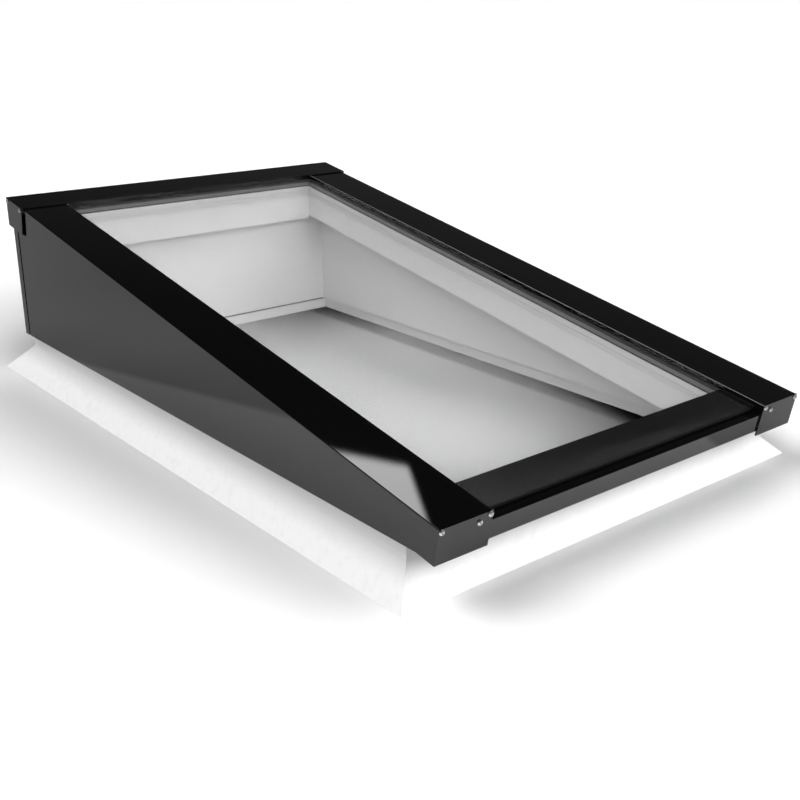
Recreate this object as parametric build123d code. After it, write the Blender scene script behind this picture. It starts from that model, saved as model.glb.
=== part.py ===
from build123d import *
from math import cos, radians, sin, tan
import os

# A fixed roof skylight: a sealed double-glazed unit at a low pitch, in a white timber frame, on a
# white moulded upstand with a 45 degree skirt. Folded black aluminium covers the frame outside.
# X runs across, Y from the low front edge to the high back, Z up. The origin is the middle of the
# upstand's footprint, on the roof deck. Sizes are in millimetres.
# Along the slope, s is the distance up the slope from the caps' front end and d is the depth
# below the plane of the caps' top faces.

# upstand
KERB_W = 886.0            # across the outer wall faces
KERB_L = 1436.0           # front to back over the outer wall faces
KERB_WALL = 12.0
SKIRT_REACH = 57.0        # how far the skirt stands out from the wall, and as high
SKIRT_SHEET = 4.0
COVE_R = 15.0             # hollow fillet between skirt and wall
BAND_H = 28.0             # base band on the inside
REVEAL_CUT = 2.0          # shadow groove above the band, wide and deep
LINING_T = 7.0            # lining boards on the two sloping side walls

# slope and cladding
PITCH = 10.0
CAP_FRONT_Z = 146.4       # height of the caps' top face at their front end
FRONT_OVERHANG = 94.5     # caps' front end, ahead of the upstand's front wall
CLAD_GAP = 17.0           # cladding's side faces, out from the upstand's walls
SHEET = 2.0
BEND_R = 1.6
CLAD_FOOT_DROP = 56.0     # cladding's lower edge, below the caps' front end
KINK_IN = 54.0            # where the side wall's foot turns level, behind the caps' front end
CLAD_END = 24.0           # side wall's rear edge, ahead of the upstand's back face
PLATE_T = 3.0             # end plates
FASCIA_D = 20.0           # front profile's top face
FASCIA_RISE = 7.8         # fascia's lower edge, above the end plates'
FASCIA_LAP = 18.3         # front profile's run behind each end plate
FASCIA_HEM = 10.0
BACK_GAP = 4.0            # back panel clear of the upstand
CORNER_GAP = 7.0          # shadow gap between side wall and back panel
HEM_GAP = 0.3             # hems clear of the upstand
CAP_LAP = 60.0            # side caps' run under the back cap

# back cap
BACK_CAP_LIP = 16.3       # its front edge, ahead of the opening's back face
BACK_CAP_OVERHANG = 12.0  # its apron, behind the back panel
BACK_CAP_DROP = 64.5
FLAP_GAP = 3.0            # end flaps clear of the side walls
SLOT_W = 10.0             # how far the slot under each flap shows ahead of it
SLOT_LOW = 1.0            # slot's lower edge, below the flap's
LAP_TAPE_T = 1.0
LAP_TAPE_W = 24.0

# glazing
GLASS_SINK = 10.5         # glass below the caps' top faces
PANE_OUT = 6.0
PANE_IN = 6.0
CAVITY = 16.0
GLASS_FRONT_S = 20.3      # outer pane's low edge
GLASS_GAP = 3.7           # round the unit's edges
BACK_BITE = 18.0          # unit's run onto the back rail
SPACER_W = 12.0
SEAL_W = 8.0
FRIT_T = 0.3
FRIT_EDGE = 0.5           # frit beyond the spacer
GASKET_H = 2.0
GASKET_W = 4.0
TAPE_T = 2.0
TAPE_W = 12.0
TAPE_INSET = 6.0
FRONT_TAPE_W = 24.0
BLOCK_L = 100.0
BLOCK_T = 4.3
BLOCK_INSET = 142.0       # outer blocks' middles, in from the unit's sides
BLOCK_COUNT = 3

# timber frame and its reveal boards
STILE_W = 91.3
BACK_RAIL_W = 53.0        # rail's run ahead of the upstand's back face
FRAME_T = 24.0            # glazing ledge down to the seat on the upstand
FRAME_TOP_D = 12.0
NOSE_FRONT_S = 6.0
NOSE_GAP = 0.3
FRAME_GROOVE = 1.6        # shadow line round the frame's inner faces, wide and deep
LINER_T = 12.0
LINER_D = 119.0           # lower edge of the side boards
BACK_LINER_DROP = 8.0     # lower edge of the back board, below the side boards'

# hidden supports
CLIP_L = 60.0
CLIP_W = 40.0
CLIP_T = 2.5
CLIP_FOOT = 0.25          # each foot, as a share of the clip's width
CLIP_INSET = 60.0
CLIP_COUNT = 5
BACK_CLIP_L = 24.0
BACK_CLIP_W = 60.0
BACK_CLIP_COUNT = 3
BRACKET_T = 3.0
BRACKET_FOOT = 40.0
HEM_BRACKET_L = 50.0
HEM_BRACKET_H = 30.0
HEM_BRACKET_GAP = 1.0     # bracket's foot, short of the side wall
HEM_BRACKET_COUNT = 4
MEMBRANE_T = 1.0
MEMBRANE_UP = 39.5        # how far it laps the frame
MEMBRANE_DOWN = 15.5      # how far it laps the upstand
CORNER_SEAL_T = 2.0
CORNER_SEAL_LAP = 5.0
FLAP_PACKER_H = 12.0
PACKER_W = 40.0           # packers behind the back panel
PACKER_INSET = 143.0      # outer packers' middles, in from the upstand's sides
PACKER_COUNT = 3
FIT = 0.3                 # clearance beside sheet edges

# fasteners
SCREW_R = 2.5
SCREW_HEAD_R = 5.0
SCREW_HEAD_H = 3.0
SCREW_RIM = 0.45          # height of the head's upright rim, as a share of the head's height
SCREW_CROWN = 0.7         # radius of the head's flat top, as a share of the head's radius
SCREW_SOCKET = 0.62       # width of the square socket, as a share of the head's radius
SCREW_HOLE_GAP = 0.05
PLATE_SCREW_L = 10.0
PLATE_SCREW_IN = 26.0     # third plate screw, from the plate's inner edge
PLATE_SCREW_D = 13.7      # third plate screw, below the cap's top face
FLAP_SCREW_L = 6.0
FRAME_SCREW_R = 3.0
FRAME_SCREW_HEAD_R = 5.5
FRAME_SCREW_HEAD_H = 3.5
FRAME_SCREW_L = 105.0
FRAME_SCREW_INSET = 120.0
FRAME_SCREW_COUNT = 4
FRAME_HOLE_GAP = 0.4

# solids that only cut
FAR = 3000.0              # longer than any piece
CUT = 1.0                 # how far a cut runs past a face

# the slope
C = cos(radians(PITCH))
S = sin(radians(PITCH))
UP_SLOPE = (0, C, S)
OUT_OF_SLOPE = (0, -S, C)
CAP_FRONT_Y = -KERB_L / 2 - FRONT_OVERHANG


def height(y, d):
    """Height above the deck of the plane at depth d, at a place y."""
    return CAP_FRONT_Z + (y - CAP_FRONT_Y) * tan(radians(PITCH)) - d / C


def along(y, d):
    """Distance up the slope of the point at place y and depth d."""
    return (y - CAP_FRONT_Y - d * S) / C


def place(s, d):
    """Place y of the point at distance s and depth d."""
    return CAP_FRONT_Y + s * C + d * S


def place_at_height(z, d):
    """Place y where the plane at depth d is at height z."""
    return CAP_FRONT_Y + (z + d / C - CAP_FRONT_Z) / tan(radians(PITCH))


# places of the upstand and the frame, worked out from the sizes above
HALF_KERB_W = KERB_W / 2
KERB_FRONT = -KERB_L / 2
KERB_BACK = KERB_L / 2
WELL_FRONT = KERB_FRONT + KERB_WALL
WELL_BACK = KERB_BACK - KERB_WALL
HALF_WELL = HALF_KERB_W - KERB_WALL
HALF_OPEN = HALF_KERB_W - STILE_W
BACK_OPEN_Y = KERB_BACK - BACK_RAIL_W

# places of the glazing unit
GLASS_D = GLASS_SINK
CAVITY_D = GLASS_D + PANE_OUT
INNER_D = CAVITY_D + CAVITY
UNIT_D = INNER_D + PANE_IN
LEDGE_D = UNIT_D + TAPE_T
SEAT_D = LEDGE_D + FRAME_T
EDGE_W = SPACER_W + SEAL_W
HALF_GLASS = HALF_OPEN + FIT + EDGE_W
STEP_S = along(WELL_FRONT, LEDGE_D) - FIT - EDGE_W
GLASS_BACK_S = along(BACK_OPEN_Y, LEDGE_D) + BACK_BITE
FRAME_GROOVE_D = (LEDGE_D + SEAT_D) / 2
STILE_STEP = HALF_GLASS + GLASS_GAP
RAIL_STEP_S = GLASS_BACK_S + GLASS_GAP
BACK_LINER_Z = height(BACK_OPEN_Y, LINER_D) - BACK_LINER_DROP
MEMBRANE_TOP_D = SEAT_D - MEMBRANE_UP
MEMBRANE_LOW_D = SEAT_D + MEMBRANE_DOWN

# places of the cladding
CAP_OUT = HALF_KERB_W + CLAD_GAP
CAP_IN = HALF_OPEN
CLAD_FOOT_Z = CAP_FRONT_Z - CLAD_FOOT_DROP
PLATE_H = (CLAD_FOOT_DROP + KINK_IN * tan(radians(PITCH))) * C
FASCIA_LOW_D = PLATE_H - FASCIA_RISE
NOSE_TOP_D = FASCIA_D + SHEET
NOSE_LOW_D = FASCIA_LOW_D - SHEET - NOSE_GAP
SIDE_END_Y = KERB_BACK - CLAD_END
PANEL_IN_Y = KERB_BACK + BACK_GAP
PANEL_OUT_Y = PANEL_IN_Y + SHEET
RETURN_Y = SIDE_END_Y + CORNER_GAP
BACK_CAP_D = -(SHEET + LAP_TAPE_T)
BACK_CAP_S = along(BACK_OPEN_Y, 0) - BACK_CAP_LIP
APRON_Y = PANEL_OUT_Y + BACK_CAP_OVERHANG
BACK_CAP_END_S = along(APRON_Y, BACK_CAP_D)
FLAP_X = CAP_OUT + FLAP_GAP + SHEET
FLAP_LOW_D = BACK_CAP_D + BACK_CAP_DROP
SLOT_S = BACK_CAP_S - SLOT_W
SLOT_D = FLAP_LOW_D + SLOT_LOW


def slope_plate(points, x0, x1):
    """A plate from x0 to x1 whose outline is a list of (s, d)."""
    plane = Plane(origin=(x0, CAP_FRONT_Y, CAP_FRONT_Z), x_dir=UP_SLOPE, z_dir=(1, 0, 0))
    outline = Polyline(*[(s, -d) for s, d in points], close=True)
    return extrude(plane * make_face(outline), amount=x1 - x0)


def slope_box(x0, x1, s0, s1, d0, d1):
    return slope_plate([(s0, d0), (s1, d0), (s1, d1), (s0, d1)], x0, x1)


def upright_plate(points, x0, x1):
    """A plate from x0 to x1 whose outline is a list of (y, z)."""
    plane = Plane(origin=(x0, 0, 0), x_dir=(0, 1, 0), z_dir=(1, 0, 0))
    outline = Polyline(*points, close=True)
    return extrude(plane * make_face(outline), amount=x1 - x0)


def block(x0, x1, y0, y1, z0, z1):
    return upright_plate([(y0, z0), (y1, z0), (y1, z1), (y0, z1)], x0, x1)


def slab(y0, y1):
    """Everything between two upright planes across the slope."""
    return block(-FAR, FAR, y0, y1, -FAR, FAR)


def slope_layer(d0, d1):
    """Everything between two depths."""
    return slope_box(-FAR, FAR, -FAR, FAR, d0, d1)


def mirrored(part):
    return mirror(part, about=Plane.YZ)


def rounded_bends(part, corners, radius):
    """Rounds the outer edges of bends that run up the slope at the given (x, d)."""
    found = []
    for edge in part.edges():
        mid = edge @ 0.5
        d = (CAP_FRONT_Z + (mid.Y - CAP_FRONT_Y) * tan(radians(PITCH)) - mid.Z) * C
        along_slope = abs((edge % 0.5).dot(Vector(*UP_SLOPE))) > 0.999
        for x, depth in corners:
            if along_slope and abs(mid.X - x) < 0.01 and abs(d - depth) < 0.01:
                found.append(edge)
    return fillet(found, radius)


def screw(length):
    """A pan head screw along -Z with its head's underside at z = 0 and a square socket."""
    outline = Polyline((0, -length), (SCREW_R, -length), (SCREW_R, 0), (SCREW_HEAD_R, 0),
                       (SCREW_HEAD_R, SCREW_HEAD_H * SCREW_RIM),
                       (SCREW_HEAD_R * SCREW_CROWN, SCREW_HEAD_H), (0, SCREW_HEAD_H), close=True)
    body = revolve(Plane.XZ * make_face(outline), axis=Axis.Z)
    wide = SCREW_HEAD_R * SCREW_SOCKET
    return body - Pos(0, 0, SCREW_HEAD_H) * Box(wide, wide, SCREW_HEAD_H)


def on_slope(x, s, d, out=OUT_OF_SLOPE):
    """A location at (x, s, d) whose Z axis points along out."""
    spot = Plane(origin=(x, place(s, d), height(place(s, d), d)), x_dir=(1, 0, 0), z_dir=out)
    return spot.location


def spread(first, last, count):
    step = (last - first) / (count - 1)
    return [first + i * step for i in range(count)]


# The upstand is one moulding: walls, and a sheet skirt that runs down to the deck at 45 degrees.
def frustum(inset):
    """A solid with 45 degree sides, from the skirt's edge up to the wall, set in by inset."""
    base = Rectangle(KERB_W + 2 * (SKIRT_REACH - inset), KERB_L + 2 * (SKIRT_REACH - inset))
    return extrude(base, amount=SKIRT_REACH - inset, taper=45)


def frame_screw_places():
    """(x, s) of the screws that hold the frame to the upstand's side walls."""
    x = HALF_KERB_W - KERB_WALL / 2
    runs = spread(along(WELL_FRONT, 0) + FRAME_SCREW_INSET,
                  along(BACK_OPEN_Y, 0) - FRAME_SCREW_INSET, FRAME_SCREW_COUNT)
    return [(side * x, s) for side in (-1, 1) for s in runs]


def frame_screw_holes(gap):
    holes = []
    for x, s in frame_screw_places():
        hole = Cylinder(FRAME_SCREW_R + gap, 2 * FRAME_SCREW_L)
        holes.append(on_slope(x, s, FRAME_TOP_D) * hole)
    return holes


def upstand():
    tall = height(KERB_BACK, 0)
    wall = block(-HALF_KERB_W, HALF_KERB_W, KERB_FRONT, KERB_BACK, 0, tall)
    wall -= slope_layer(-FAR, SEAT_D)
    body = wall + (frustum(0) - block(-HALF_KERB_W, HALF_KERB_W, KERB_FRONT, KERB_BACK, 0, tall))
    cove = [e for e in body.edges() if abs(e.center().Z - SKIRT_REACH) < 0.01]
    body = fillet(cove, COVE_R)
    sheet = SKIRT_SHEET * 2 ** 0.5
    body -= frustum(sheet) - block(-HALF_KERB_W, HALF_KERB_W, KERB_FRONT, KERB_BACK, 0, tall)
    body -= block(-HALF_WELL, HALF_WELL, WELL_FRONT, WELL_BACK, -CUT, tall)
    body -= block(-HALF_WELL, HALF_WELL, WELL_FRONT - REVEAL_CUT, WELL_BACK + REVEAL_CUT,
                  BAND_H, BAND_H + REVEAL_CUT)
    for hole in frame_screw_holes(SCREW_HOLE_GAP):
        body -= hole
    return body


def side_lining():
    """A lining board on the inside of the right wall, from the base band up to the frame."""
    points = [(WELL_FRONT, BAND_H), (WELL_BACK, BAND_H), (WELL_BACK, height(WELL_BACK, SEAT_D)),
              (WELL_FRONT, height(WELL_FRONT, SEAT_D))]
    return upright_plate(points, HALF_WELL - LINING_T, HALF_WELL)


# The frame: two stiles between two rails, each with a ledge that the glazing unit lies on.
def inner_groove(x):
    d = FRAME_GROOVE_D
    half = FRAME_GROOVE / 2
    return slope_box(x, x + FRAME_GROOVE, -FAR, FAR, d - half, d + half)


def stile():
    body = slope_box(HALF_OPEN, HALF_KERB_W, 0, FAR, LEDGE_D, SEAT_D)
    body += slope_box(STILE_STEP, HALF_KERB_W, 0, FAR, FRAME_TOP_D, LEDGE_D)
    body &= slab(WELL_FRONT, BACK_OPEN_Y)
    body -= inner_groove(HALF_OPEN)
    for hole in frame_screw_holes(FRAME_HOLE_GAP):
        body -= hole
    return body


def rail_front():
    step_s = STEP_S - BLOCK_T
    front_face_s = along(KERB_FRONT, SEAT_D)
    points = [
        (NOSE_FRONT_S, NOSE_TOP_D), (step_s, NOSE_TOP_D), (step_s, LEDGE_D),
        (along(WELL_FRONT, LEDGE_D), LEDGE_D), (along(WELL_FRONT, SEAT_D), SEAT_D),
        (front_face_s, SEAT_D), (front_face_s - (SEAT_D - NOSE_LOW_D), NOSE_LOW_D),
        (NOSE_FRONT_S, NOSE_LOW_D),
    ]
    return slope_plate(points, -HALF_KERB_W, HALF_KERB_W)


def rail_back():
    points = [
        (along(BACK_OPEN_Y, LEDGE_D), LEDGE_D), (RAIL_STEP_S, LEDGE_D), (RAIL_STEP_S, FRAME_TOP_D),
        (along(KERB_BACK, FRAME_TOP_D), FRAME_TOP_D), (along(KERB_BACK, SEAT_D), SEAT_D),
        (along(BACK_OPEN_Y, SEAT_D), SEAT_D),
    ]
    body = slope_plate(points, -HALF_KERB_W, HALF_KERB_W)
    groove_s = along(BACK_OPEN_Y, FRAME_GROOVE_D)
    half = FRAME_GROOVE / 2
    body -= slope_box(-HALF_OPEN, HALF_OPEN, groove_s - FRAME_GROOVE, groove_s + FRAME_GROOVE,
                      FRAME_GROOVE_D - half, FRAME_GROOVE_D + half)
    return body


def liner_side():
    """Reveal board under the right stile; its lower edge follows the slope."""
    board = slope_box(HALF_OPEN, HALF_OPEN + LINER_T, 0, FAR, SEAT_D, LINER_D)
    return board & slab(WELL_FRONT, BACK_OPEN_Y + LINER_T)


def liner_back():
    """Reveal board under the back rail; it stands upright with a level lower edge."""
    back = BACK_OPEN_Y + LINER_T
    points = [(BACK_OPEN_Y, BACK_LINER_Z), (back, BACK_LINER_Z), (back, height(back, SEAT_D)),
              (BACK_OPEN_Y, height(BACK_OPEN_Y, SEAT_D))]
    return upright_plate(points, -HALF_OPEN, HALF_OPEN)


# The glazing unit: two panes, a bent spacer between them, an edge seal round the spacer, and a
# black enamel band under the outer pane where it runs past the inner one.
def ring(inset, width, d0, d1):
    """A closed band between the panes, set in from the inner pane's edges."""
    x = HALF_GLASS - inset
    outer = slope_box(-x, x, STEP_S + inset, GLASS_BACK_S - inset, d0, d1)
    x -= width
    inset += width
    return outer - slope_box(-x, x, STEP_S + inset, GLASS_BACK_S - inset, d0 - CUT, d1 + CUT)


def glass_outer():
    return slope_box(-HALF_GLASS, HALF_GLASS, GLASS_FRONT_S, GLASS_BACK_S, GLASS_D, CAVITY_D)


def glass_inner():
    return slope_box(-HALF_GLASS, HALF_GLASS, STEP_S, GLASS_BACK_S, INNER_D, UNIT_D)


def frit_band():
    back = STEP_S + EDGE_W + FRIT_EDGE
    return slope_box(-HALF_GLASS, HALF_GLASS, GLASS_FRONT_S, back, CAVITY_D, CAVITY_D + FRIT_T)


def glass_spacer():
    return ring(SEAL_W, SPACER_W, CAVITY_D + FRIT_T, INNER_D)


def glass_edge_seal():
    return ring(0, SEAL_W, CAVITY_D + FRIT_T, INNER_D)


def glazing_tape():
    return ring(TAPE_INSET, TAPE_W, UNIT_D, LEDGE_D)


def front_tape():
    start = GLASS_FRONT_S + TAPE_INSET
    edge = CAP_IN - TAPE_INSET
    return slope_box(-edge, edge, start, start + FRONT_TAPE_W, CAVITY_D + FRIT_T, FASCIA_D)


def setting_blocks():
    half = BLOCK_L / 2
    s = STEP_S - BLOCK_T
    x = HALF_GLASS - BLOCK_INSET
    return [slope_box(at - half, at + half, s, STEP_S, NOSE_TOP_D, LEDGE_D)
            for at in spread(-x, x, BLOCK_COUNT)]


# Cladding: each side is one folded sheet, a cap on top, a short return down to the glass and a
# wedge-shaped wall with a hem at its foot.
def side_cladding():
    wall_x = CAP_OUT - SHEET
    cap = slope_box(CAP_IN, CAP_OUT, PLATE_T, BACK_CAP_S + CAP_LAP, 0, SHEET)
    lip_d = GLASS_D - GASKET_H
    lip_s = GLASS_FRONT_S - FIT
    lip = [(PLATE_T, 0), (BACK_CAP_S + CAP_LAP, 0), (BACK_CAP_S + CAP_LAP, lip_d), (lip_s, lip_d),
           (lip_s, FASCIA_D - FIT), (PLATE_T, FASCIA_D - FIT)]
    body = cap + slope_plate(lip, CAP_IN, CAP_IN + SHEET)
    kink_s = along(CAP_FRONT_Y + KINK_IN, PLATE_H)
    wall = [(PLATE_T, 0), (SLOT_S, 0), (SLOT_S, SLOT_D), (along(SIDE_END_Y, SLOT_D), SLOT_D),
            slope_point(SIDE_END_Y, CLAD_FOOT_Z), (kink_s, PLATE_H), (PLATE_T, PLATE_H)]
    body += slope_plate(wall, wall_x, CAP_OUT)
    body += block(HALF_KERB_W + HEM_GAP, CAP_OUT, KERB_FRONT, SIDE_END_Y, CLAD_FOOT_Z,
                  CLAD_FOOT_Z + SHEET)
    return rounded_bends(body, [(CAP_OUT, 0), (CAP_IN, 0)], BEND_R)


def slope_point(y, z):
    """The (s, d) of a point given by its place and height."""
    d = (height(y, 0) - z) * C
    return along(y, d), d


def plate_screw_places():
    """(x, d) of the three screws in the right end plate."""
    edge = SCREW_HEAD_R + FIT / 2
    return [(CAP_OUT - edge, edge), (CAP_IN + edge, edge), (CAP_IN + PLATE_SCREW_IN, PLATE_SCREW_D)]


def plate_screw_holes(gap):
    holes = []
    for x, d in plate_screw_places():
        hole = Cylinder(SCREW_R + gap, 4 * PLATE_SCREW_L)
        holes.append(on_slope(x, 0, d, out=UP_SLOPE) * hole)
    return holes


def end_plate():
    body = slope_box(CAP_IN, CAP_OUT, 0, PLATE_T, 0, PLATE_H)
    for hole in plate_screw_holes(SCREW_HOLE_GAP):
        body -= hole
    return body


def end_bracket():
    """Angle behind the end plate: its upright takes the screws, its foot lies on the nose."""
    x0 = CAP_IN + SHEET + FIT
    x1 = CAP_OUT - SHEET - FIT
    foot_x = CAP_IN + FASCIA_LAP + FIT
    body = slope_box(x0, x1, PLATE_T, PLATE_T + BRACKET_T, SHEET + FIT, FASCIA_D - FIT)
    body += slope_box(foot_x, HALF_KERB_W, PLATE_T, PLATE_T + BRACKET_FOOT,
                      NOSE_TOP_D - BRACKET_T, NOSE_TOP_D)
    for hole in plate_screw_holes(SCREW_HOLE_GAP):
        body -= hole
    return body


def front_profile():
    """Front section: a top face under the glass edge, the fascia, and a hem at its foot."""
    x = CAP_IN + FASCIA_LAP
    s0 = PLATE_T
    s1 = STEP_S - BLOCK_T
    low = FASCIA_LOW_D
    points = [
        (s0, FASCIA_D), (s1, FASCIA_D), (s1, NOSE_TOP_D), (s0 + SHEET, NOSE_TOP_D),
        (s0 + SHEET, low - SHEET), (s0 + FASCIA_HEM, low - SHEET), (s0 + FASCIA_HEM, low),
        (s0, low),
    ]
    body = slope_plate(points, -x, x)
    bends = [e for e in body.edges() if abs((e % 0.5).X) > 0.999 and is_at(e, s0, (FASCIA_D, low))]
    return fillet(bends, BEND_R)


def is_at(edge, s, depths):
    mid = edge.center()
    d = (height(mid.Y, 0) - mid.Z) * C
    return abs(along(mid.Y, d) - s) < 0.01 and min(abs(d - want) for want in depths) < 0.01


def back_panel():
    """Back sheet with a return round each corner and a hem at its foot."""
    top_d = SHEET + FIT
    wall = [(PANEL_IN_Y, CLAD_FOOT_Z), (PANEL_OUT_Y, CLAD_FOOT_Z),
            (PANEL_OUT_Y, height(PANEL_OUT_Y, top_d)), (PANEL_IN_Y, height(PANEL_IN_Y, top_d))]
    body = upright_plate(wall, -CAP_OUT, CAP_OUT)
    side = [(RETURN_Y, CLAD_FOOT_Z), (PANEL_OUT_Y, CLAD_FOOT_Z),
            (PANEL_OUT_Y, height(PANEL_OUT_Y, top_d)), (RETURN_Y, height(RETURN_Y, top_d))]
    body += upright_plate(side, CAP_OUT - SHEET, CAP_OUT)
    body += upright_plate(side, -CAP_OUT, SHEET - CAP_OUT)
    body += block(-CAP_OUT, CAP_OUT, KERB_BACK + HEM_GAP, PANEL_OUT_Y, CLAD_FOOT_Z,
                  CLAD_FOOT_Z + SHEET)
    corners = [e for e in body.edges().filter_by(Axis.Z)
               if abs(abs(e.center().X) - CAP_OUT) < 0.01 and abs(e.center().Y - PANEL_OUT_Y) < 0.01]
    return fillet(corners, BEND_R)


def flap_outline():
    """Outline of the back cap's end flap: square to the slope in front, upright behind."""
    return [(BACK_CAP_S, BACK_CAP_D), (BACK_CAP_END_S, BACK_CAP_D),
            (along(APRON_Y, FLAP_LOW_D), FLAP_LOW_D), (BACK_CAP_S, FLAP_LOW_D)]


def flap_screw_places():
    """(s, d) of the two screws in each flap."""
    d = SHEET + SCREW_R + FIT
    edge = SCREW_HEAD_R + 2 * SHEET
    return [(BACK_CAP_S + edge, d), (BACK_CAP_END_S - edge, d)]


def flap_screw_holes():
    holes = []
    for s, d in flap_screw_places():
        hole = Cylinder(SCREW_R + SCREW_HOLE_GAP, 4 * FLAP_SCREW_L)
        holes.append(Location((FLAP_X, place(s, d), height(place(s, d), d)), (0, 90, 0)) * hole)
    return holes


def back_cap():
    """Capping over the top end: a lip down to the glass, two end flaps and a rear apron."""
    inside = APRON_Y - SHEET
    body = slope_box(-FLAP_X, FLAP_X, BACK_CAP_S, BACK_CAP_END_S, BACK_CAP_D, -LAP_TAPE_T)
    body += slope_plate(flap_outline(), FLAP_X - SHEET, FLAP_X)
    body += slope_plate(flap_outline(), -FLAP_X, SHEET - FLAP_X)
    foot = height(APRON_Y, FLAP_LOW_D)
    apron = [(inside, foot), (APRON_Y, foot), (APRON_Y, height(APRON_Y, BACK_CAP_D)),
             (inside, height(inside, BACK_CAP_D))]
    body += upright_plate(apron, -FLAP_X, FLAP_X)
    body += slope_box(FIT - CAP_IN, CAP_IN - FIT, BACK_CAP_S, BACK_CAP_S + SHEET, BACK_CAP_D,
                      GLASS_D - GASKET_H)
    body = rounded_bends(body, [(FLAP_X, BACK_CAP_D), (-FLAP_X, BACK_CAP_D)], BEND_R)
    for hole in flap_screw_holes():
        body = body - hole - mirrored(hole)
    return body


def flap_packer():
    """Strip behind the right flap that its screws pull up against."""
    rear = APRON_Y - SHEET - FIT
    body = slope_box(CAP_OUT, FLAP_X - SHEET, BACK_CAP_S + SHEET, along(rear, FLAP_PACKER_H),
                     0, FLAP_PACKER_H)
    for hole in flap_screw_holes():
        body -= hole
    return body


# Seals and gaskets
def cap_gasket():
    """Strip between the glass and the right cap's return."""
    return slope_box(CAP_IN, CAP_IN + GASKET_W, GLASS_FRONT_S, BACK_CAP_S, GLASS_D - GASKET_H,
                     GLASS_D)


def back_gasket():
    x = CAP_IN - FIT
    return slope_box(-x, x, BACK_CAP_S, BACK_CAP_S + GASKET_W, GLASS_D - GASKET_H, GLASS_D)


def lap_tape():
    edge = 2 * SHEET
    return slope_box(CAP_IN + edge, CAP_OUT - edge, BACK_CAP_S + edge,
                     BACK_CAP_S + edge + LAP_TAPE_W, -LAP_TAPE_T, 0)


def corner_seal():
    """Rubber strip that closes the gap between side wall and back panel from behind."""
    y0 = SIDE_END_Y - CORNER_SEAL_LAP
    y1 = RETURN_Y + CORNER_SEAL_LAP
    foot = CLAD_FOOT_Z + SHEET
    points = [(y0, foot), (y1, foot), (y1, height(y1, SLOT_D)), (y0, height(y0, SLOT_D))]
    x = CAP_OUT - SHEET
    return upright_plate(points, x - CORNER_SEAL_T, x)


def membrane():
    """Rubber sheet stuck round the joint between frame and upstand, behind the cladding."""
    t = MEMBRANE_T
    top = height(KERB_BACK, 0)
    sheet = block(-HALF_KERB_W - t, HALF_KERB_W + t, WELL_FRONT, KERB_BACK + t,
                  CLAD_FOOT_Z + SHEET + FIT, top)
    sheet -= block(-HALF_KERB_W, HALF_KERB_W, WELL_FRONT - t, KERB_BACK, 0, top)
    return sheet & slope_layer(MEMBRANE_TOP_D, MEMBRANE_LOW_D)


# Hidden supports
def hat_clip(x, s, d_top, d_low, width, length):
    """A folded clip with two feet on the frame and a flat crown under a cap."""
    half = width / 2
    foot = width * CLIP_FOOT
    rim = half - foot
    body = slope_box(x - half, x + half, s - length / 2, s + length / 2, d_top, d_low)
    body -= slope_box(x - rim + CLIP_T, x + rim - CLIP_T, -FAR, FAR, d_top + CLIP_T, FAR)
    body -= slope_box(x - half, x - rim, -FAR, FAR, -FAR, d_low - CLIP_T)
    return body - slope_box(x + rim, x + half, -FAR, FAR, -FAR, d_low - CLIP_T)


def cap_clips():
    x = (STILE_STEP + HALF_KERB_W) / 2 - CLIP_T
    runs = spread(along(WELL_FRONT, 0) + CLIP_INSET, along(BACK_OPEN_Y, 0) - CLIP_INSET, CLIP_COUNT)
    return [hat_clip(side * x, s, SHEET, FRAME_TOP_D, CLIP_W, CLIP_L)
            for side in (-1, 1) for s in runs]


def back_clips():
    s = (RAIL_STEP_S + along(KERB_BACK, FRAME_TOP_D)) / 2
    x = HALF_OPEN - CLIP_INSET
    return [hat_clip(at, s, -LAP_TAPE_T, FRAME_TOP_D, BACK_CLIP_W, BACK_CLIP_L)
            for at in spread(-x, x, BACK_CLIP_COUNT)]


def hem_bracket(y):
    """Angle on the right wall of the upstand that the cladding's hem is riveted to."""
    t = BRACKET_T
    z = CLAD_FOOT_Z + SHEET
    half = HEM_BRACKET_L / 2
    x = HALF_KERB_W
    leg = block(x, x + t, y - half, y + half, z, z + HEM_BRACKET_H)
    foot = block(x, CAP_OUT - SHEET - HEM_BRACKET_GAP, y - half, y + half, z, z + t)
    return leg + foot


def hem_brackets():
    top = CLAD_FOOT_Z + SHEET + HEM_BRACKET_H + FIT
    first = place_at_height(top, MEMBRANE_LOW_D) + HEM_BRACKET_L / 2
    places = spread(first, SIDE_END_Y - HEM_BRACKET_L, HEM_BRACKET_COUNT)
    right = [hem_bracket(y) for y in places]
    return right + [mirrored(b) for b in right]


def panel_packers():
    """Strips that hold the back panel clear of the upstand, below the membrane."""
    low = CLAD_FOOT_Z + SHEET + FIT
    top = height(KERB_BACK, MEMBRANE_LOW_D) - FIT
    half = PACKER_W / 2
    x = HALF_KERB_W - PACKER_INSET
    return [block(at - half, at + half, KERB_BACK, PANEL_IN_Y, low, top)
            for at in spread(-x, x, PACKER_COUNT)]


def plate_screws():
    made = screw(PLATE_SCREW_L)
    down_slope = tuple(-a for a in UP_SLOPE)
    right = [on_slope(x, 0, d, out=down_slope) * made for x, d in plate_screw_places()]
    return right + [mirrored(b) for b in right]


def flap_screws():
    made = screw(FLAP_SCREW_L)
    right = []
    for s, d in flap_screw_places():
        spot = Location((FLAP_X, place(s, d), height(place(s, d), d)), (0, 90, 0))
        right.append(spot * made)
    return right + [mirrored(b) for b in right]


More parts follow.
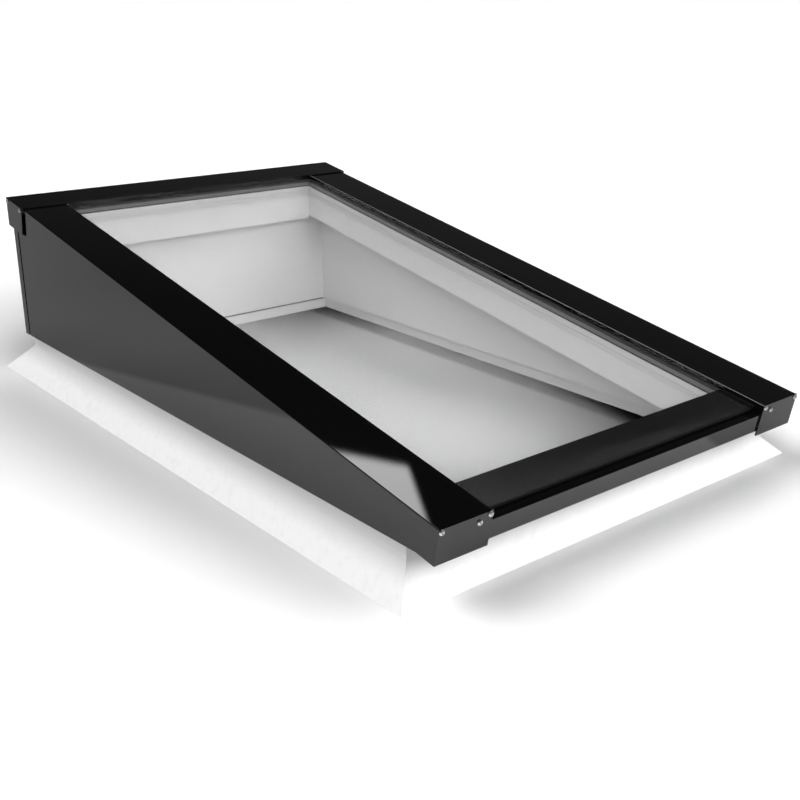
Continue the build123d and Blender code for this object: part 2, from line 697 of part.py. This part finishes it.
def frame_screws():
    """Hexagon head screws through the stiles into the upstand's side walls."""
    head = extrude(RegularPolygon(FRAME_SCREW_HEAD_R, side_count=6), amount=FRAME_SCREW_HEAD_H)
    made = head + Pos(0, 0, -FRAME_SCREW_L / 2) * Cylinder(FRAME_SCREW_R, FRAME_SCREW_L)
    return [on_slope(x, s, FRAME_TOP_D) * made for x, s in frame_screw_places()]


def pair(name, part):
    return {name + "_right": part, name + "_left": mirrored(part)}


NODES = {
    "upstand": upstand(),
    **pair("side_lining", side_lining()),
    **pair("frame_stile", stile()),
    "frame_rail_front": rail_front(),
    "frame_rail_back": rail_back(),
    **pair("reveal_board", liner_side()),
    "reveal_board_back": liner_back(),
    "glass_outer": glass_outer(),
    "glass_inner": glass_inner(),
    "glass_spacer": glass_spacer(),
    "glass_edge_seal": glass_edge_seal(),
    "frit_band": frit_band(),
    "glazing_tape": glazing_tape(),
    "front_tape": front_tape(),
    "setting_blocks": setting_blocks(),
    **pair("side_cladding", side_cladding()),
    **pair("end_plate", end_plate()),
    **pair("end_bracket", end_bracket()),
    "front_profile": front_profile(),
    "back_panel": back_panel(),
    "back_cap": back_cap(),
    **pair("flap_packer", flap_packer()),
    **pair("cap_gasket", cap_gasket()),
    "back_gasket": back_gasket(),
    **pair("lap_tape", lap_tape()),
    **pair("corner_seal", corner_seal()),
    "joint_membrane": membrane(),
    "cap_clips": cap_clips(),
    "back_clips": back_clips(),
    "hem_brackets": hem_brackets(),
    "panel_packers": panel_packers(),
    "plate_screws": plate_screws(),
    "flap_screws": flap_screws(),
    "frame_screws": frame_screws(),
}

os.makedirs("parts", exist_ok=True)
for name, part in NODES.items():
    solids = part if isinstance(part, list) else [part]
    whole = Compound(children=[s for piece in solids for s in piece.solids()])
    export_step(whole, f"parts/{name}.step")
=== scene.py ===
from math import cos, pi, radians, sin

import bmesh
import bpy
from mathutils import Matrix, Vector

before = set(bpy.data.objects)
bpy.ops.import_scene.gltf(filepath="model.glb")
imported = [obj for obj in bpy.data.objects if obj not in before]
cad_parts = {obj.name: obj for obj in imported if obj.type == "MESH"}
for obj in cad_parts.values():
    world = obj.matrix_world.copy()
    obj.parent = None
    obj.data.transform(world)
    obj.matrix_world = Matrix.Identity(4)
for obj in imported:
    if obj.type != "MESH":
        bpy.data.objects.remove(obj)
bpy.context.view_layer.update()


# Upstand. One white glass-fibre moulding, laid up by brush in a mould with a gel coat: upright
# walls and a skirt at 45 degrees. The groove above the inside base band is painted dark as its
# shade, and the base band on the side walls is painted darker as painted shade. The inside is
# painted a lighter white than the outside, for the light that reaches it, and the outside is painted
# greyer close under the cladding, darkest at the front, for the shadow that soft lights leave out.
class Value:
    """An output of a shader node. Arithmetic on it adds Math nodes."""

    def __init__(self, finish, socket):
        self.finish = finish
        self.socket = socket

    def __add__(self, other):
        return self.finish.math("ADD", self, other)

    def __radd__(self, other):
        return self.finish.math("ADD", other, self)

    def __sub__(self, other):
        return self.finish.math("SUBTRACT", self, other)

    def __rsub__(self, other):
        return self.finish.math("SUBTRACT", other, self)

    def __mul__(self, other):
        return self.finish.math("MULTIPLY", self, other)

    def __rmul__(self, other):
        return self.finish.math("MULTIPLY", other, self)

    def __truediv__(self, other):
        return self.finish.math("DIVIDE", self, other)


class Finish:
    """The node tree of a material, a floor or the world while it is being made."""

    def __init__(self, tree):
        self.tree = tree
        self.tree.nodes.clear()

    def plug(self, socket, value):
        if isinstance(value, Value):
            self.tree.links.new(value.socket, socket)
        elif socket.type == "RGBA":
            socket.default_value = (*value, 1)
        else:
            socket.default_value = value

    def node(self, kind, settings=None, sockets=None, out=0):
        """Adds a node and returns one output."""
        made = self.tree.nodes.new("ShaderNode" + kind)
        for name, value in (settings or {}).items():
            setattr(made, name, value)
        for place, value in (sockets or {}).items():
            self.plug(made.inputs[place], value)
        return Value(self, made.outputs[out])

    def math(self, operation, *values):
        return self.node("Math", {"operation": operation}, dict(enumerate(values)))

    def place(self, axis):
        """One coordinate of a point on the object."""
        return self.node("SeparateXYZ", None, {0: self.node("TexCoord", out="Object")}, out=axis)

    def along(self, direction):
        """How far a point on the object lies in a direction."""
        return self.node("VectorMath", {"operation": "DOT_PRODUCT"},
                         {0: self.node("TexCoord", out="Object"), 1: direction}, out="Value")

    def spot(self, scale=(1, 1, 1), turn=(0, 0, 0)):
        """Object coordinates, turned and then stretched."""
        return self.node("Mapping", {"vector_type": "TEXTURE"},
                         {"Vector": self.node("TexCoord", out="Object"), "Rotation": turn,
                          "Scale": tuple(1 / s for s in scale)})

    def noise(self, scale, detail=2.0, vector=None):
        return self.node("TexNoise", None, {"Vector": vector or self.spot(), "Scale": scale,
                                            "Detail": detail})

    def ramp(self, value, low, high):
        """0 below low and 1 above high."""
        return self.node("MapRange", {"interpolation_type": "SMOOTHSTEP"},
                         {"Value": value, "From Min": low, "From Max": high})

    def grey(self, value):
        return self.node("CombineXYZ", None, {0: value, 1: value, 2: value})

    def mix(self, mask, first, second):
        return self.node("Mix", {"data_type": "RGBA"}, {0: mask, 6: first, 7: second}, out=2)

    def bump(self, height, distance, strength=1.0):
        return self.node("Bump", None, {"Height": height, "Distance": distance,
                                        "Strength": strength})


def material(name, build):
    """A material whose node tree build(finish) makes; build returns the shader."""
    made = bpy.data.materials.new(name)
    made.use_nodes = True
    finish = Finish(made.node_tree)
    shader = build(finish)
    sheet = made.node_tree.nodes.new("ShaderNodeOutputMaterial")
    made.node_tree.links.new(shader.socket, sheet.inputs["Surface"])
    return made


def dress(made, *names):
    """Gives CAD nodes a material."""
    for name in names:
        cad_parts[name].data.materials.clear()
        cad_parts[name].data.materials.append(made)


WELL_HALF_X = 0.4365      # to the middle of the walls' thickness
WELL_HALF_Y = 0.7115
SIDE_BAND_SHADE = (-0.007, -0.006)      # just inside the side walls' inner faces
GROOVE_SHADE_LOW = 0.0256
GROOVE_SHADE_HIGH = 0.0300
GROOVE_SHADE_BLUR = 0.0005
SHADE_LOW = 0.022
SHADE_HIGH = 0.060


def gel_coat(finish):
    streaks = finish.noise(10, 5, finish.spot((1, 9, 9), (0, 0, 0.5)))
    patches = finish.noise(6, 2)
    peel = finish.noise(150, 1)
    level = finish.place("Z")
    past_x = finish.math("ABSOLUTE", finish.place("X")) - WELL_HALF_X
    past_y = finish.math("ABSOLUTE", finish.place("Y")) - WELL_HALF_Y
    inside = finish.math("LESS_THAN", finish.math("MAXIMUM", past_x, past_y), 0)
    front = (finish.math("LESS_THAN", past_x, past_y)
             * finish.math("LESS_THAN", finish.place("Y"), 0))
    below = inside * finish.ramp(GROOVE_SHADE_HIGH - level, 0, GROOVE_SHADE_BLUR)
    # Painted shade: the groove above the inside base band is drawn dark.
    groove_shade = below * finish.ramp(level, GROOVE_SHADE_LOW, GROOVE_SHADE_LOW + GROOVE_SHADE_BLUR)
    # Painted shade: the base band on the side walls is drawn darker.
    side_band_shade = below * finish.ramp(past_x, *SIDE_BAND_SHADE)
    shade = finish.ramp(level, SHADE_LOW, SHADE_HIGH)
    # The inside is painted a lighter white than the outside, for the light that reaches it.
    inner = finish.mix(finish.ramp(streaks, 0.5, 0.8), (0.95, 0.95, 0.95), (0.915, 0.915, 0.92))
    inner = finish.mix(side_band_shade, inner, (0.84, 0.84, 0.84))
    inner = finish.mix(groove_shade, inner, (0.25, 0.25, 0.25))
    outer = finish.mix(finish.ramp(streaks, 0.45, 0.75), (0.90, 0.90, 0.90), (0.85, 0.85, 0.855))
    outer = finish.mix(shade, outer, finish.mix(front, (0.62, 0.62, 0.62), (0.40, 0.40, 0.40)))
    return finish.node("BsdfPrincipled", None, {
        "Base Color": finish.mix(inside, outer, inner),
        "Roughness": 0.30 + 0.16 * patches,
        "Normal": finish.bump(peel + streaks, 0.0002, 0.2),
    })


dress(material("gel_coat", gel_coat), "upstand")


# Lining and reveal boards. Smooth white boards that hide the joint between frame and upstand:
# two on the sloping walls, and three that hang under the glazing frame. Sprayed satin, so only a
# fine orange peel shows.
def satin_board(finish):
    peel = finish.noise(240, 2)
    patches = finish.noise(4, 2)
    return finish.node("BsdfPrincipled", None, {
        "Base Color": finish.mix(patches, (0.95, 0.95, 0.95), (0.92, 0.92, 0.92)),
        "Roughness": 0.42 + 0.12 * peel,
        "Normal": finish.bump(peel, 0.0001, 0.4),
    })


dress(material("satin_board", satin_board), "side_lining_left", "side_lining_right",
      "reveal_board_left", "reveal_board_right", "reveal_board_back")


# Glazing frame. Four planed timber members, painted white; the grain runs along each one and
# shows a little through the paint.
def painted_timber(finish, along):
    stretch = (30, 1.2, 30) if along == "y" else (1.2, 30, 30)
    grain = finish.noise(7, 5, finish.spot(stretch))
    brush = finish.noise(180, 1)
    return finish.node("BsdfPrincipled", None, {
        "Base Color": finish.mix(finish.ramp(grain, 0.45, 0.75), (0.85, 0.85, 0.85),
                                 (0.80, 0.80, 0.80)),
        "Roughness": 0.36 + 0.14 * grain,
        "Normal": finish.bump(grain + 0.3 * brush, 0.0002, 0.5),
    })


dress(material("timber_stile", lambda finish: painted_timber(finish, "y")),
      "frame_stile_left", "frame_stile_right")
dress(material("timber_rail", lambda finish: painted_timber(finish, "x")),
      "frame_rail_front", "frame_rail_back")


# Glazing unit. Two clear float panes with a dark warm-edge spacer and a black sealant between
# them. A band of black enamel is fired on the underside of the outer pane where it runs past
# the inner one.
def clear_glass(finish):
    rays = finish.node("LightPath", out="Is Shadow Ray")
    spread = finish.node("LightPath", out="Is Diffuse Ray")
    film = finish.noise(3, 3)
    body = finish.node("BsdfPrincipled", None, {
        "Base Color": (1.0, 1.0, 1.0),
        "Roughness": finish.ramp(film, 0.5, 1.0) * 0.01,
        "IOR": 1.5,
        "Transmission Weight": 1.0,
    })
    open_path = finish.node("BsdfTransparent", None, {"Color": (1.0, 1.0, 1.0)})
    return finish.node("MixShader", None, {0: finish.math("MAXIMUM", rays, spread), 1: body,
                                           2: open_path})


PANE_PITCH = radians(10)
PANE_NORMAL = Vector((0, -sin(PANE_PITCH), cos(PANE_PITCH)))
bar_levels = [v.co.dot(PANE_NORMAL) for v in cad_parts["glass_spacer"].data.vertices]
BAR_LOW = min(bar_levels)
BAR_H = max(bar_levels) - BAR_LOW
BAR_SHADE_FROM = 0.52         # parts of the bar's height
BAR_SHADE_TO = 0.60


def spacer_bar(finish):
    fleck = finish.noise(900, 1)
    # Painted shade: the bar's upper part is drawn dark, for the shade of the cap above it.
    bar_shade = finish.ramp(finish.along(PANE_NORMAL), BAR_LOW + BAR_SHADE_FROM * BAR_H,
                        BAR_LOW + BAR_SHADE_TO * BAR_H)
    bar = finish.mix(fleck, (0.17, 0.17, 0.17), (0.21, 0.21, 0.21))
    return finish.node("BsdfPrincipled", None, {
        "Base Color": finish.mix(bar_shade, bar, (0.055, 0.055, 0.055)),
        "Roughness": 0.45 + 0.15 * fleck,
        "Normal": finish.bump(fleck, 0.0001, 0.4),
    })


def sealant(finish):
    waves = finish.noise(60, 2)
    return finish.node("BsdfPrincipled", None, {
        "Base Color": finish.mix(waves, (0.010, 0.010, 0.011), (0.018, 0.018, 0.018)),
        "Roughness": 0.5 + 0.2 * waves,
        "Normal": finish.bump(waves, 0.00005, 0.3),
    })


def black_enamel(finish):
    pinholes = finish.noise(700, 1)
    return finish.node("BsdfPrincipled", None, {
        "Base Color": finish.mix(finish.ramp(pinholes, 0.6, 0.9), (0.008, 0.008, 0.008),
                                 (0.014, 0.014, 0.014)),
        "Roughness": 0.12 + 0.05 * pinholes,
    })


dress(material("clear_glass", clear_glass), "glass_outer", "glass_inner")
dress(material("spacer_bar", spacer_bar), "glass_spacer")
dress(material("sealant", sealant), "glass_edge_seal")
dress(material("black_enamel", black_enamel), "frit_band")


# Cladding. Sheet aluminium, 2 mm, folded, powder coated a glossy black and held by clips and screws.
# The coat has a fine orange peel and hairline marks from handling, and a thin light line is
# painted along the side caps' inner bends as a painted highlight.
cap_points = [v.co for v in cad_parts["side_cladding_right"].data.vertices]
CAP_TOP = max(co.dot(PANE_NORMAL) for co in cap_points)
TOP_TOLERANCE = 0.0005
CAP_INNER = min(co.x for co in cap_points if co.dot(PANE_NORMAL) > CAP_TOP - TOP_TOLERANCE)
HIGHLIGHT_DROP = 0.0010        # below the cap's flat top
HIGHLIGHT_REACH = 0.0020       # inwards from the flat top's edge
HIGHLIGHT_BLUR = 0.0002
HIGHLIGHT_SPARE = 0.0003       # onto the flat top, and above it


def powder_coat(finish):
    peel = finish.noise(900, 1)
    swell = finish.noise(7, 1)
    marks = finish.noise(60, 6, finish.spot((14, 1, 1), (0, 0, 0.9)))
    level = finish.along(PANE_NORMAL)
    edge = finish.math("ABSOLUTE", finish.place("X")) - CAP_INNER
    # Painted highlight: a thin light line along the side caps' inner bends.
    edge_highlight = (finish.ramp(edge, -HIGHLIGHT_REACH, HIGHLIGHT_BLUR - HIGHLIGHT_REACH)
            * finish.math("LESS_THAN", edge, HIGHLIGHT_SPARE)
            * finish.math("GREATER_THAN", level, CAP_TOP - HIGHLIGHT_DROP)
            * finish.math("LESS_THAN", level, CAP_TOP + HIGHLIGHT_SPARE))
    black = finish.mix(finish.ramp(marks, 0.62, 0.9), (0.0027, 0.0027, 0.0029),
                       (0.006, 0.006, 0.006))
    return finish.node("BsdfPrincipled", None, {
        "Base Color": finish.mix(edge_highlight, black, (0.17, 0.17, 0.17)),
        "Roughness": 0.012 + 0.006 * peel + 0.012 * finish.ramp(marks, 0.6, 0.9),
        "IOR": 1.6,
        "Normal": finish.bump(peel + 0.4 * swell, 0.00001, 0.3),
    })


dress(material("powder_coat", powder_coat), "side_cladding_left", "side_cladding_right",
      "end_plate_left", "end_plate_right", "front_profile", "back_panel", "back_cap")


# Gaskets, tapes and membrane. Extruded and calendered black rubber, dull, with the slight drag
# lines of the die.
def black_rubber(finish):
    drag = finish.noise(400, 2)
    return finish.node("BsdfPrincipled", None, {
        "Base Color": finish.mix(drag, (0.008, 0.008, 0.008), (0.016, 0.016, 0.016)),
        "Roughness": 0.62 + 0.2 * drag,
        "Normal": finish.bump(drag, 0.0002, 0.4),
    })


dress(material("black_rubber", black_rubber), "glazing_tape", "front_tape", "cap_gasket_left",
      "cap_gasket_right", "back_gasket", "lap_tape_left", "lap_tape_right", "corner_seal_left",
      "corner_seal_right", "joint_membrane")


# Screws. Stainless pan heads with a square drive, turned bright. They hold the end plates and the
# back cap's flaps, and the glazing frame on the upstand.
def turned_steel(finish):
    rings = finish.noise(500, 2)
    return finish.node("BsdfPrincipled", None, {
        "Base Color": finish.mix(rings, (0.62, 0.61, 0.60), (0.72, 0.71, 0.70)),
        "Metallic": 1.0,
        "Roughness": 0.22 + 0.15 * rings,
        "Normal": finish.bump(rings, 0.0001, 0.3),
    })


dress(material("turned_steel", turned_steel), "plate_screws", "flap_screws", "frame_screws")


# Brackets and clips. Folded from mill-finish aluminium sheet. They carry the cladding from inside,
# between it and the frame or the upstand, so none of them shows.
def mill_aluminium(finish):
    rolled = finish.noise(40, 4, finish.spot((1, 25, 25)))
    return finish.node("BsdfPrincipled", None, {
        "Base Color": finish.mix(rolled, (0.70, 0.70, 0.71), (0.78, 0.78, 0.79)),
        "Metallic": 1.0,
        "Roughness": 0.3 + 0.2 * rolled,
        "Normal": finish.bump(rolled, 0.0001, 0.3),
    })


dress(material("mill_aluminium", mill_aluminium), "end_bracket_left", "end_bracket_right",
      "cap_clips", "back_clips", "hem_brackets")


# Packers and setting blocks. Cut from black plastic strip. The packers stand behind the back panel
# and the flaps, and the inner pane's low edge stands on the blocks.
def cut_plastic(finish):
    sawn = finish.noise(300, 2)
    return finish.node("BsdfPrincipled", None, {
        "Base Color": finish.mix(sawn, (0.02, 0.02, 0.02), (0.035, 0.035, 0.035)),
        "Roughness": 0.5 + 0.2 * sawn,
        "Normal": finish.bump(sawn, 0.0001, 0.4),
    })


dress(material("cut_plastic", cut_plastic), "setting_blocks", "flap_packer_left",
      "flap_packer_right", "panel_packers")


# Floor. A plain white studio floor. The eye and the mirrors see it with its shadows deepened, and
# white where nothing shades it; the rest of the light that it throws back is that of pale paper.
# In the mirrors it is darker left of the skirt, darker still further out, and darker on the right
# from in front of the right end plate on.
FLOOR_SIZE = 120.0
FLOOR_PAPER = 0.5
SHADOW_DEPTH = 2.2
WELL_DEPTH = 0.3          # deeper by this, seen through the glass
FIRST = 0.5               # a ray's depth is below this before its first bounce of a kind
FAR_EDGE = (-0.960, 0.280)
FAR_START = 0.72
FAR_BLUR = 0.04
FAR_DARK = 0.36
FAR_FALL = 0.17
FAR_FALL_FROM = 0.5
FAR_FALL_TO = 1.6
NEAR_START = 0.5
NEAR_BLUR = 0.1
NEAR_DARK = 0.12
SIDE_START = 0.355
SIDE_BLUR = 0.03
SIDE_DARK = 0.40


def clear_view(finish, *paths):
    """1 for a ray of one of these kinds that no matt surface has scattered yet."""
    seen = 0
    for path in paths:
        seen = finish.math("MAXIMUM", finish.node("LightPath", out=path), seen)
    return seen * finish.math("LESS_THAN", finish.node("LightPath", out="Diffuse Depth"), FIRST)


def studio_floor(finish):
    seen = clear_view(finish, "Is Camera Ray", "Is Glossy Ray", "Is Transmission Ray")
    to_right = finish.place("X")
    to_back = finish.place("Y")
    far = finish.ramp(to_right * FAR_EDGE[0] + to_back * FAR_EDGE[1], FAR_START,
                      FAR_START + FAR_BLUR)
    near = finish.ramp(-1 * to_right, NEAR_START, NEAR_START + NEAR_BLUR)
    beside = finish.ramp(to_right, SIDE_START, SIDE_START + SIDE_BLUR)
    far_dark = FAR_DARK + FAR_FALL * finish.ramp(to_back, FAR_FALL_FROM, FAR_FALL_TO)
    drop = far_dark * far + SIDE_DARK * beside + NEAR_DARK * near
    tone = 1 - clear_view(finish, "Is Glossy Ray") * drop
    depth = SHADOW_DEPTH + WELL_DEPTH * clear_view(finish, "Is Transmission Ray")
    white = FLOOR_PAPER + seen * (depth * tone - FLOOR_PAPER)
    lit = finish.node("BsdfDiffuse", None, {"Color": finish.grey(white)})
    lift = finish.node("Emission", None, {"Color": finish.grey(seen * tone * (1 - depth))})
    return finish.node("AddShader", None, {0: lit, 1: lift})


shape = bmesh.new()
bmesh.ops.create_grid(shape, x_segments=1, y_segments=1, size=FLOOR_SIZE)
mesh = bpy.data.meshes.new("studio_floor")
shape.to_mesh(mesh)
shape.free()
floor = bpy.data.objects.new("studio_floor", mesh)
floor.data.materials.append(material("studio_floor", studio_floor))
bpy.context.scene.collection.objects.link(floor)


# Light. Broad soft lights stand all round the object, the strongest low in front of it. The
# mirrors see a dark studio with a pale foot, and one ceiling box whose corner lies on the low end
# of the left cap.
FILL = 0.03
DARK_STUDIO = 0.004
FOOT_GLOW = 0.13
FOOT_FROM = 0.2           # sines of the angle above the floor
FOOT_TO = 0.58
LEAST_RISE = 0.05
BOX_GLOW = 4.2
BOX_CORNER = (0.966, 0.860)      # of the ceiling box, for a ceiling 1 m above the mirror
# For each pair of sides: the way in from the corner, the width and the blur of the edges.
BOX_SIDES = (((-0.648, -0.761), 1.4, 0.02), ((-0.911, 0.414), 0.28, 0.012))
LIGHT_SPREAD = 40

world = bpy.data.worlds.new("studio")
bpy.context.scene.world = world
world.use_nodes = True
sky = Finish(world.node_tree)


def ceiling_box(x, y):
    """1 where a mirrored ray at (x, y) on the ceiling meets the box."""
    mask = 1
    for edge, width, blur in BOX_SIDES:
        inside = (x - BOX_CORNER[0]) * edge[0] + (y - BOX_CORNER[1]) * edge[1]
        mask = sky.ramp(inside, 0, blur) * mask
        mask = sky.ramp(width - inside, 0, blur) * mask
    return mask


facing = sky.node("TexCoord", out="Generated")
across = sky.node("SeparateXYZ", None, {0: facing}, out="X")
ahead = sky.node("SeparateXYZ", None, {0: facing}, out="Y")
above = sky.node("SeparateXYZ", None, {0: facing}, out="Z")
rise = sky.math("MAXIMUM", above, LEAST_RISE)
box = ceiling_box(across / rise, ahead / rise)
foot = 1 - sky.ramp(above, FOOT_FROM, FOOT_TO)
mirrored = DARK_STUDIO + FOOT_GLOW * foot + BOX_GLOW * box

bounces = sky.node("LightPath", out="Glossy Depth")
white_ray = (clear_view(sky, "Is Camera Ray", "Is Transmission Ray")
             * sky.math("LESS_THAN", bounces, FIRST))
mirrored_ray = clear_view(sky, "Is Glossy Ray", "Is Transmission Ray")
shown = white_ray + (1 - white_ray) * (mirrored_ray * mirrored + (1 - mirrored_ray) * FILL)
back = sky.node("Background", None, {"Color": (1, 1, 1), "Strength": shown})
sheet = world.node_tree.nodes.new("ShaderNodeOutputWorld")
world.node_tree.links.new(back.socket, sheet.inputs["Surface"])


def soft_light(name, heading, rise, level):
    """A broad light from a heading, clockwise from +Y, at an angle above the floor."""
    lamp = bpy.data.lights.new(name, "SUN")
    lamp.energy = pi * level
    lamp.angle = radians(LIGHT_SPREAD)
    made = bpy.data.objects.new(name, lamp)
    made.rotation_euler = (radians(90 - rise), 0, radians(180 - heading))
    made.visible_glossy = False
    made.visible_transmission = False
    bpy.context.scene.collection.objects.link(made)


soft_light("front_light", 180, 15, 0.65)
soft_light("high_front_light", 180, 55, 0.045)
soft_light("left_front_light", -135, 15, 0.186)
soft_light("high_left_front_light", -135, 35, 0.191)
soft_light("left_light", -90, 15, 0.13)
soft_light("left_back_light", -45, 35, 0.133)
soft_light("high_left_back_light", -60, 55, 0.303)
soft_light("back_light", 0, 15, 0.225)
soft_light("right_back_light", 45, 35, 0.126)
soft_light("right_light", 90, 35, 0.082)
soft_light("right_front_light", 135, 35, 0.301)

bpy.context.scene.view_settings.view_transform = "Standard"


# Camera. It stands where the photograph's stood, before the object's low front left corner. Its
# place, its turn and its focal length come from a fit to the object's right angles.
CAMERA_SPOT = (-1.41479, -1.88365, 0.86866)
CAMERA_PITCH = 20.01
CAMERA_HEADING = 39.45
FOCAL_PIXELS = 1109.13
PICTURE_PIXELS = 800
SENSOR = 36.0

lens = bpy.data.cameras.new("camera")
lens.sensor_width = SENSOR
lens.lens = SENSOR * FOCAL_PIXELS / PICTURE_PIXELS
lens.clip_end = 2 * FLOOR_SIZE
camera = bpy.data.objects.new("camera", lens)
camera.location = CAMERA_SPOT
camera.rotation_euler = (radians(90 - CAMERA_PITCH), 0, radians(-CAMERA_HEADING))
bpy.context.scene.collection.objects.link(camera)
bpy.context.scene.camera = camera
